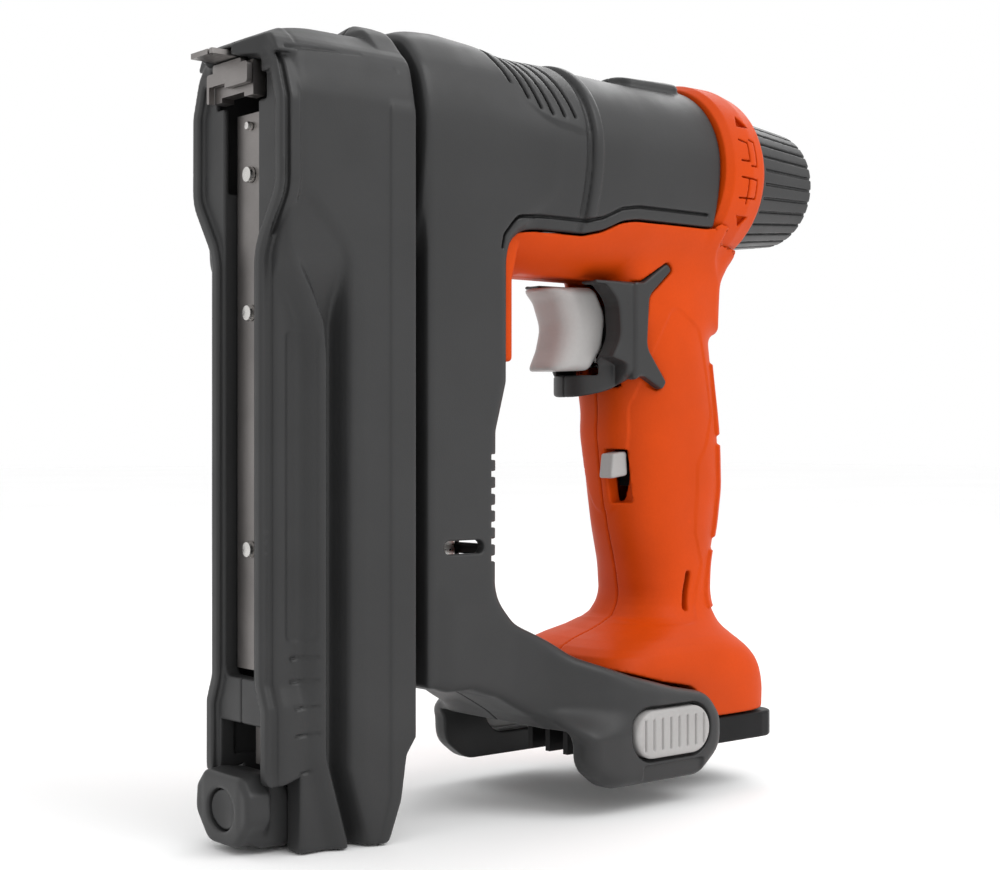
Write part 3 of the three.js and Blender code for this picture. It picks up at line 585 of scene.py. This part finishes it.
def body_field(x, y, z):
    across = np.abs(y)
    column_side = profile(x, z, [
        (COLUMN_FRONT, -163.4, 1.5), (COLUMN_FRONT, 17, 2.5), (56, 20, 4), (65, 21.2, 14), (79, 19, 12),
        (90, 6, 10), (92, -20, 10), (81, -36, 8), (80.9, -78, 6), (77, -92, 6), (76.8, -141, 9),
        (82, -149, 10), (100, -157.5, 10), (100, -179, 6), (80, -168, 10), (68, -163.6, 6),
    ])
    column_plan = profile(x, across, [
        (COLUMN_FRONT, -30), (COLUMN_FRONT, COLUMN_HALF, 2.2), (78, COLUMN_HALF + 0.4, 6), (110, 20, 4),
        (110, -30),
    ])
    column_arch = profile(across, z, [
        (-30, 21), (0, 21), (9.4, 17.6, 12), (17.6, 8.6, 12), (COLUMN_HALF + 0.6, -4, 12),
        (COLUMN_HALF + 0.6, -200), (-30, -200),
    ])
    column = overlap(overlap(column_side, column_plan, 3), column_arch, 2.4)
    section = barrel_section(x, across, z)
    barrel = overlap(overlap(section, between(x, COLUMN_FRONT, 163.6), 1.6), body_edge(x, z), 0.6)
    cover_line = profile(x, z, [
        (64, 40), (70, 20), (78, 10), (82, 6), (86.5, 1.6), (90.5, -1.4), (95, -3.2), (100, -4, 4),
        (105.8, -5.4, 3), (105.8, 40),
    ])
    cover = overlap(overlap(section - 0.7, cover_line, 1.2), body_edge(x, z), 0.8)
    rib = overlap(overlap(section - 1.3, between(x, 108.4, 112.2), 1.4), body_edge(x, z) + 4.2, 0.6)
    crest_plan = profile(x, across, [(139, -20), (139, 9, 4), (160, 12.5, 3), (160, -20)])
    crest = overlap(overlap(section - 2.4, crest_plan, 1.4), 2 - z, 0.5)
    outer = join(join(column, barrel, 7), cover, 0.8)
    outer = join(join(outer, rib, 0.8), crest, 1.0)
    outer = cut(outer, barrel_lines(x, z, section), 0.4)
    outer = join(outer, arm_and_cheek(x, across, z), 7)
    outer = cheek_details(x, across, z, outer)
    outer = cut(outer, rear_vents(x, across, z), 0.4)
    side_slot = stroke(x, z, [(59.4, -124.6), (70, -124.6)], 1.9)
    outer = cut(outer, np.maximum(side_slot, 16 - across), 0.4)
    return overlap(cut(outer, body_hollow(x, across, z), 0.3), y + SEAM, 0.4)


def barrel_lines(x, z, section):
    """Louvre slits between cover and rib, the gap before the rib, and the groove over the edge strip."""
    depth = -(section + 1.6)
    lines = 1e3
    for foot, stop in LOUVRES:
        slit = between(x + (z - stop) * 0.25, foot - 0.45, foot + 0.45)
        lines = np.minimum(lines, overlap(slit, stop - z, 0.5))
    lines = np.maximum(lines, depth)
    gap = np.maximum(between(x, 106.2, 108.2), -(section + 0.6))
    groove_path = np.abs(stroke(x, z, EDGE, 0) - 3.6) - 0.45
    groove = np.maximum(np.maximum(groove_path, body_edge(x, z)), -(section + 1.5))
    groove = np.maximum(groove, np.maximum(x - 160, -40 - z))
    return np.minimum(np.minimum(lines, gap), groove)


def arm_and_cheek(x, across, z):
    shape = profile(x, z, [
        (72, -140), (80, -146, 4), (86, -150, 8), (101, -157.6, 12), (118, -164, 14), (134, -168.4, 8),
        (147, -171, 10), (152.4, -178, 8), (152.4, -188, 9), (143, -195.6, 9), (106, -195.6, 10),
        (97.4, -189, 8), (97, -181, 6), (91, -173.4, 8), (78, -165.4, 8), (68, -163.4, 4), (60, -163.4),
        (60, -140),
    ])
    half = along(x, [
        (70, 19.6), (82, 20.6), (92, 24.2), (101, 29.4), (109, 34), (117, 37), (124, CHEEK_HALF),
        (160, CHEEK_HALF),
    ])
    cheek_half = along(x, [(96, 36.4), (100, 37.4), (110, CHEEK_HALF)])
    half = half + (cheek_half - half) * fade(z, -171, -181) - 1.2 * fade(z, -172, -164)
    return overlap(shape, across - half, 4.5)


def cheek_details(x, across, z, outer):
    """The battery bay, the release buttons' recess and the flat under them."""
    bay = block(x, across, z, (60, -1, -240), (170, BAY_HALF, BAY_ROOF), 1)
    bay = overlap(bay, 93 - x, 2)
    outer = cut(outer, bay, 0.6)
    recess = slab(stroke(x, z, [(121.4, -180.9), (138.2, -180.9)], 8.1), across, 36.6, 60, 0.4)
    outer = cut(outer, recess, 0.5)
    hole = stroke(x, z, [(121.4, -180.9), (138, -180.9)], 7.5)
    outer = cut(outer, slab(hole, across, 20, 60, 0.3), 0.4)
    flat = profile(x, z, [(118, -189.8, 1), (143.5, -189.8, 1), (141, -197), (118, -197)])
    return cut(outer, slab(flat, across, 37, 60, 0.3), 0.4)


def rear_vents(x, across, z):
    vents = 1e3
    for i in range(7):
        height = -129 + i * 4.8
        vents = np.minimum(vents, between(z, height, height + 1.6))
    return np.maximum(np.maximum(vents, 3 - across), 74.6 - x)


def body_hollow(x, across, z):
    motor = block(x, across, z, (53.4, -1, -158), (74.9, 17.2, 2))
    upper = block(x, across, z, (53.4, -1, -90), (78.4, 17.2, 2))
    works = overlap(np.hypot(across, z - AXIS_Z) - 21.5, between(x, 54, 170), 0.3)
    works = overlap(works, between(across, -30, 18.6), 0.3)
    under = block(x, across, z, (84, -1, -60), (170, 17.6, -20))
    driver = block(x, across, z, (48, -1, -20.6), (60, 11.2, 4))
    foot = block(x, across, z, (48, -1, 3), (66, 7, 9.5))
    neck = block(x, across, z, (106, -1, -186), (144, 15, -160))
    hollow = np.minimum(np.minimum(motor, upper), np.minimum(works, under))
    return np.minimum(np.minimum(hollow, driver), np.minimum(foot, neck))


# ------------------------------------------------------------------ orange handle shell
BEZEL = [
    (99.5, -45.4, 1), (118, -46.2, 4), (137.6, -46, 3), (147.6, -39.4, 1.4), (149.8, -41.6, 1.4),
    (140, -50, 5), (139, -66, 6), (147.4, -76.6, 1.4), (145.6, -79, 1.4), (136.6, -74.4, 4), (130, -79, 6),
    (121, -81.6, 6), (110, -78.4, 6), (101.6, -73.6, 1),
]
VENT_X = 156.2                      # foot of the vent slot low on the grip's side


def grip_field(x, across, z):
    heights = -GRIP[:, 0]
    front, rear, half = (
        sum(np.interp(-z + shift, heights, GRIP[:, column]) for shift in (-2, 0, 2)) / 3
        for column in (1, 2, 3)
    )
    reach = (rear - front) / 2
    u = (x - (front + rear) / 2) / reach
    v = across / half
    square = 2.6 + 3.4 * fade(z, -152, -168)
    radius = (np.abs(u) ** square + np.abs(v) ** square) ** (1 / square)
    return (radius - 1) * np.minimum(reach, half) * 0.95


def handle_outer(x, y, z):
    across = np.abs(y)
    grip = overlap(grip_field(x, across, z), between(z, -180.2, -28), 1.2)
    section = barrel_section(x, across, z)
    under = overlap(overlap(section, between(x, 81.4, 168), 1), 0.7 - body_edge(x, z), 0.4)
    strip = slab(profile(x, z, [
        (81.4, -72, 1.5), (81.4, -30), (90, -30), (85.4, -48, 6), (85.4, -72, 1.5),
    ]), across, -40, 17.4, 1.6)
    web = slab(profile(x, z, [
        (134, -30), (180, -26, 4), (184, -34, 6), (177, -44, 8), (176, -60), (134, -60),
    ]), across, -40, 16.4, 6)
    ring = np.hypot(across, z - AXIS_Z)
    swell = slab(profile(x, ring, [(163.8, 0), (163.8, COLLAR_R + 0.2, 1.5), (181, COLLAR_R, 2), (181, 0)]),
                 z, -60, -24, 2)
    outer = join(join(grip, under, 5), web, 5)
    outer = join(np.minimum(outer, strip), swell, 4)
    return outer


def handle_pads(x, z, outer):
    """Raised pads down the back of the grip, and the sunk panel on its side."""
    rear = along(z, [
        (-30, 180), (-60, 175), (-86, 180.2), (-98, 181.8), (-110, 182), (-122, 180.2), (-144, 173.4),
    ])
    back = x - rear
    for top, bottom in ((-70, -93), (-96, -126), (-130, -148)):
        pad = overlap(between(z, bottom, top), -back - 6.4, 0.5)
        outer = outer - 0.75 * fade(pad, 0.4, -0.4)
    panel = profile(x, z, [
        (150, -52, 4), (163, -60, 4), (171, -86, 4), (168, -96, 2), (163.6, -102, 2), (162.6, -124, 3),
        (166, -134, 3), (158, -152, 3), (150, -152), (138, -152, 6), (138, -84, 6), (142, -70, 4),
    ])
    return outer + 0.35 * fade(panel, 0.35, -0.35)


def handle_hollow(x, y, z):
    across = np.abs(y)
    upper = block(x, across, z, (104, -1, -37), (158, 13.4, -20))
    inner = overlap(grip_field(x, across, z) + 3.2, between(z, -146, -40), 1)
    neck = block(x, across, z, (150, -1, -166), (168, 8, -144), 1)
    flare = block(x, across, z, (126, -1, -184), (178, 23, -164), 1)
    inner = np.minimum(inner, np.minimum(neck, flare))
    window = block(x, across, z, (95, -1, -78), (152, 9.4, -45.2), 1)
    return np.minimum(np.minimum(upper, inner), window)


def handle_room(x, y, z):
    """Room for the barrel shell, the collar and the foot."""
    across = np.abs(y)
    barrel = overlap(barrel_section(x, across, z) - 2.6, body_edge(x, z) - 0.4, 0.3)
    barrel = overlap(barrel, between(x, 56, 163.7), 0.3)
    collar = np.maximum(np.hypot(across, z - AXIS_Z) - COLLAR_R - 0.35, 163.7 - x)
    foot = profile(x, z, [
        (70, -141), (82, -147.2), (100, -156.6, 8), (118, -163, 8), (134, -167.4, 4), (147.4, -170, 6),
        (153.2, -178, 6), (153.2, -220), (70, -220),
    ])
    return np.minimum(np.minimum(barrel, np.minimum(collar, foot)), bezel_room(x, y, z))


def bezel_room(x, y, z):
    return slab(profile(x, z, BEZEL) - 0.45, np.abs(y), 14.6, 40, 0.3)


def handle_left(x, y, z):
    outer = handle_pads(x, z, handle_outer(x, y, z))
    vent = slab(stroke(x, z, [(VENT_X, -147.4), (VENT_X + 3.2, -137)], 1.1), -y, 6, 40, 0.3)
    outer = cut(outer, vent, 0.4)
    switch = block(x, y, z, (120, -9.8, -114.2), (141.8, -3, -97.4), 0.8)
    outer = cut(outer, switch, 0.4)
    whole = cut(cut(outer, handle_hollow(x, y, z), 0.3), handle_room(x, y, z), 0.4)
    return overlap(whole, y + SEAM, 0.5)


def handle_right(x, y, z):
    outer = handle_pads(x, z, handle_outer(x, y, z))
    whole = cut(cut(outer, handle_hollow(x, y, z), 0.3), handle_room(x, y, z), 0.4)
    return overlap(whole, SEAM - y, 0.5)


def bezel_left(x, y, z):
    across = -y
    shape = profile(x, z, BEZEL)
    finger = profile(x, z, [
        (90, -47.6), (123, -47.2, 3), (128.4, -52, 8), (129.2, -63, 10), (122.6, -74, 6), (90, -74.4),
    ])
    crown = 18.5 - 0.8 * fade(x, 112, 98)
    dish = 1.4 * fade(finger, 6, 0.2)
    plate = overlap(shape, overlap(across - crown + dish, 15 - across, 0.3), 1.0)
    cheek = overlap(overlap(shape, between(across, 9.6, 16), 0.4), between(x, 90, 134), 0.5)
    keel = across - 10 - 8 * fade(z, -82, -72)
    chin = overlap(overlap(shape, keel, 2), z + 74.6, 0.8)
    chin = overlap(chin, x - 136, 0.6)
    whole = join(join(plate, cheek, 0.6), chin, 0.8)
    round_front = 132.6 - np.sqrt(144 - np.minimum(across, 11.9) ** 2)
    front = 118.6 + (round_front - 118.6) * fade(z, -66, -72)
    whole = overlap(overlap(whole, front - x, 1), np.minimum(keel, 133 - x), 2)
    whole = cut(whole, slab(finger, across, -30, 40, 0.5), 1.2)
    return overlap(whole, y + SEAM, 0.4)


# ------------------------------------------------------------------ small moulded pieces
def trigger_field(x, y, z):
    across = np.abs(y)
    shape = profile(x, z, [
        (104.6, -48.4, 1.5), (127, -47.6, 4), (131.8, -56, 8), (130, -67, 8), (124.6, -73.2, 3),
        (108.8, -73.6, 2), (112, -67, 8), (113.8, -60, 8), (110.8, -52.4, 5),
    ])
    bow = 9 - np.sqrt(81 - np.minimum(across, 8.6) ** 2)
    front = profile(x - bow, z, [
        (104.6, -46), (140, -46), (140, -76), (108.6, -76), (108.8, -73.6), (112, -67, 8), (113.8, -60, 8),
        (110.8, -52.4, 5),
    ])
    finger = overlap(slab(shape, across, -20, 8.3, 2.6), front, 2)
    stem = block(x, across, z, (126, -1, -64), (133, 4, -56))
    return join(finger, stem, 0.6)


def button_field(x, y, z):
    across = np.abs(y)
    pill = stroke(x, z, [(121.4, -180.9), (138, -180.9)], 7.05)
    button = slab(pill, across, 33, 38.9, 1.0)
    for i in range(8):
        groove = np.maximum(between(x, 117.4 + i * 3.5, 118.1 + i * 3.5), between(z, -185.6, -176.4))
        button = cut(button, np.maximum(groove, 38.2 - across), 0.3)
    return overlap(button, y, 0.1)


LATCH_Z = -192.2                    # middle of the latch button


def latch_field(x, y, z):
    across = np.abs(y)
    body = profile(x, z, [
        (-1.6, -184, 4), (3, -182.4, 2), (11, -183, 3), (14, -188, 4), (36.4, -194, 3), (38.4, -198, 3),
        (24, -202.2, 6), (5, -202.2, 4), (-1.6, -197, 4),
    ])
    body = slab(body, across, -40, 10.1, 2.4)
    face = slab(profile(across, z, [
        (-30, -182.6), (9, -182.6, 3), (13, -187, 3), (13.6, -194, 5), (7, -201.6, 5), (-30, -201.6),
    ]), x, -1.8, 6, 1.6)
    whole = join(body, face, 1.2)
    hole = slab(ellipse(y, z - LATCH_Z, 6.5, 5.7), x, -6, 4.4, 0.2)
    return cut(whole, hole, 0.5)


def latch_button_field(x, y, z):
    """A round button with a shallow dish pressed into its face."""
    button = slab(ellipse(y, z - LATCH_Z, 6.1, 5.3), x, -1.2, 2, 0.4)
    dish = np.sqrt((x + 17) ** 2 + y ** 2 + (z - LATCH_Z) ** 2) - 17
    return cut(button, dish, 0.4)


def collar_field(x, y, z):
    ring = np.hypot(y, z - AXIS_Z)
    shape = profile(x, ring, [
        (COLLAR_FRONT, 20), (COLLAR_FRONT, 28, 0.6), (166.6, COLLAR_R, 1.2), (175, COLLAR_R, 6),
        (181.4, COLLAR_R - 1.4, 3), (COLLAR_REAR, COLLAR_R - 3.4, 0.8), (COLLAR_REAR, 20),
    ])
    angle = np.degrees(np.arctan2(z - AXIS_Z, -y))
    around = angle * ring * math.pi / 180
    marks = collar_marks(x, around)
    floor = COLLAR_R - 1.9 + 0.6 * fade(x, 175, 182)
    return cut(shape, np.maximum(marks, floor - ring), 0.2)


def collar_marks(x, around):
    """Deeper and shallower arrows, with a stepped line for the depth setting between them."""
    up = profile(x, around, [(170.6, 14.2), (176.2, 14.2), (172.4, 18.4)])
    down = profile(x, around, [(171, -15), (176.6, -15), (173.8, -18.6)])
    upper = stroke(x, around, [(169.6, 9.4), (173.4, 8.6), (173.6, 2.6), (169.8, 2.6)], 0.28)
    rail = stroke(x, around, [(174.4, 9.8), (177, 9.2), (177.2, 1.2), (174.2, 1.2)], 0.28)
    lower = stroke(x, around, [(170, -2.6), (177.6, -3), (177.8, -9), (170, -9.2)], 0.28)
    post = stroke(x, around, [(173.4, -3), (173.6, -11)], 0.28)
    arrows = np.minimum(up, down)
    return np.minimum(np.minimum(arrows, upper), np.minimum(rail, np.minimum(lower, post)))


def knob_field(x, y, z):
    ring = np.hypot(y, z - AXIS_Z)
    shape = profile(x, ring, [
        (KNOB_FRONT, 5.2), (KNOB_FRONT, KNOB_R0, 1), (188, KNOB_R0, 2), (KNOB_REAR, KNOB_R1, 1.6),
        (KNOB_REAR, 0), (209, 0), (209, 5.2),
    ])
    angle = np.arctan2(z - AXIS_Z, -y)
    pitch = 2 * math.pi / KNOB_RIBS
    offset = np.abs(angle / pitch % 1.0 - 0.5) * pitch * ring
    surface = KNOB_R0 + (KNOB_R1 - KNOB_R0) * np.clip((x - 188) / 28, 0, 1)
    groove = np.maximum(offset - 0.45, surface - 0.9 - ring)
    ridges = np.maximum(groove, 189.5 - x)
    notch = np.abs((angle + 0.02) / math.pi % 1.0 - 0.5) * math.pi * ring
    window = np.maximum(np.maximum(notch - 1.4, 210 - x), surface - 1.4 - ring)
    return cut(cut(shape, ridges, 0.3), window, 0.3)


def foot_plate_field(x, y, z):
    across = np.abs(y)
    plan = profile(x, across, [(152.9, -10), (152.9, 29.6, 2), (187, 29.6, 8), (187, -10)])
    plate = slab(plan, z, -189, -180.8, 0.8)
    return cut(plate, block(x, across, z, (150, -1, -192), (178, 24, -185.6)), 0.3)


def lock_field(x, y, z):
    shape = profile(x, z, [(132, -106.6, 1), (133, -98.8, 1), (139, -98, 1), (139.4, -105.6, 1)])
    return slab(shape, y, -9.2, -3.6, 0.7)


def build_housings():
    """The large shells that split down the middle plane."""
    graphite, orange = MATERIALS["graphite_shell"], MATERIALS["orange_shell"]
    housing = ("housing", "housing")
    moulded_pair("magazine", magazine_field, (-6, -25, -206), (49, 1, 25), housing,
                 ("magazine_shell_left", "magazine_shell_right"), graphite)
    moulded_pair("body", body_field, (48, -41, -199), (167, 1, 25), housing,
                 ("body_shell_left", "body_shell_right"), graphite)
    moulded("handle_left_skin", handle_left, (79, -32, -184), (190, 1, -20), "housing",
            "handle_shell_left", orange, STEP)
    moulded("handle_right_skin", handle_right, (79, -1, -184), (190, 32, -20), "housing",
            "handle_shell_right", orange, STEP)
    moulded_pair("bezel", bezel_left, (96, -21, -84), (152, 1, -36), housing,
                 ("trigger_bezel_left", "trigger_bezel_right"), graphite, FINE)


def build_controls():
    """The battery release buttons and the trigger."""
    grey = MATERIALS["grey_control"]
    moulded_pair("release", button_field, (112, -41, -190), (147, -31, -172),
                 ("release_left", "release_right"), ("battery_release_left", "battery_release_right"),
                 grey, FINE)
    moulded("trigger_skin", trigger_field, (96, -10, -76), (135, 10, -46), "trigger", "trigger",
            grey)


def build_fittings():
    """The latch, the collar, the knob, the plate under the flare and the lock slide."""
    graphite, orange = MATERIALS["graphite_shell"], MATERIALS["orange_shell"]
    moulded("latch_skin", latch_field, (-4, -16, -207), (41, 16, -180), "drawer", "latch_cap",
            graphite, STEP)
    moulded("latch_button_skin", latch_button_field, (-3, -8, -200), (4, 8, -185), "latch_button",
            "latch_button", graphite)
    moulded("collar_skin", collar_field, (162, -32, -41), (186, 32, 23), "housing", "depth_collar",
            orange)
    moulded("knob_skin", knob_field, (182, -24, -34), (218, 24, 16), "knob", "depth_knob",
            graphite)
    moulded("foot_plate_skin", foot_plate_field, (150, -32, -191), (189, 32, -178), "housing",
            "foot_plate", MATERIALS["black_plastic"], STEP)
    moulded("lock_skin", lock_field, (130, -11, -109), (142, -1, -95), "mode_lock", "lock_switch",
            MATERIALS["grey_control"])


# ------------------------------------------------------------------ camera, light and floor
def add_camera():
    data = bpy.data.cameras.new("camera")
    data.lens = 62.748
    data.sensor_width = 36
    data.shift_y = 0.005
    data.clip_start = 0.01
    camera = bpy.data.objects.new("camera", data)
    camera.location = (-0.23504, -0.39898, -0.10125)
    camera.rotation_euler = (math.radians(90), 0, math.radians(-40.235))
    bpy.context.scene.collection.objects.link(camera)
    bpy.context.scene.camera = camera


def add_light(name, place, target, size, power):
    data = bpy.data.lights.new(name, "AREA")
    data.size = size
    data.energy = power
    light = bpy.data.objects.new(name, data)
    light.location = place
    direction = Vector(target) - Vector(place)
    light.rotation_euler = direction.to_track_quat("-Z", "Y").to_euler()
    bpy.context.scene.collection.objects.link(light)


def add_floor(height):
    size = 6.0
    mesh = bpy.data.meshes.new("floor")
    corners = [(-size, -size, height), (size, -size, height), (size, size, height), (-size, size, height)]
    mesh.from_pydata(corners, [], [(0, 1, 2, 3)])
    n = Nodes("pale_floor")
    tone = n.mix(n.spread(n.noise(3), 0, 1), (0.985, 0.985, 0.985), (1.0, 1.0, 1.0))
    n.link(tone, n.shader.inputs["Base Color"])
    n.shader.inputs["Roughness"].default_value = 0.8
    mesh.materials.append(n.material)
    floor = bpy.data.objects.new("floor", mesh)
    bpy.context.scene.collection.objects.link(floor)


def add_world():
    world = bpy.data.worlds.new("studio")
    world.use_nodes = True
    background = world.node_tree.nodes["Background"]
    background.inputs["Color"].default_value = (1, 1, 1, 1)
    background.inputs["Strength"].default_value = 1.0
    bpy.context.scene.world = world
    bpy.context.scene.view_settings.view_transform = "Standard"


dress_frame()
build_housings()
build_controls()
build_fittings()
add_camera()
add_floor(frame_box[0].z - 0.0005)
add_world()
add_light("key", (0.35, -0.75, 0.75), (0.1, 0, -0.08), 0.7, 5)
add_light("rim", (0.7, 0.3, 0.5), (0.1, 0, -0.08), 0.5, 1.5)
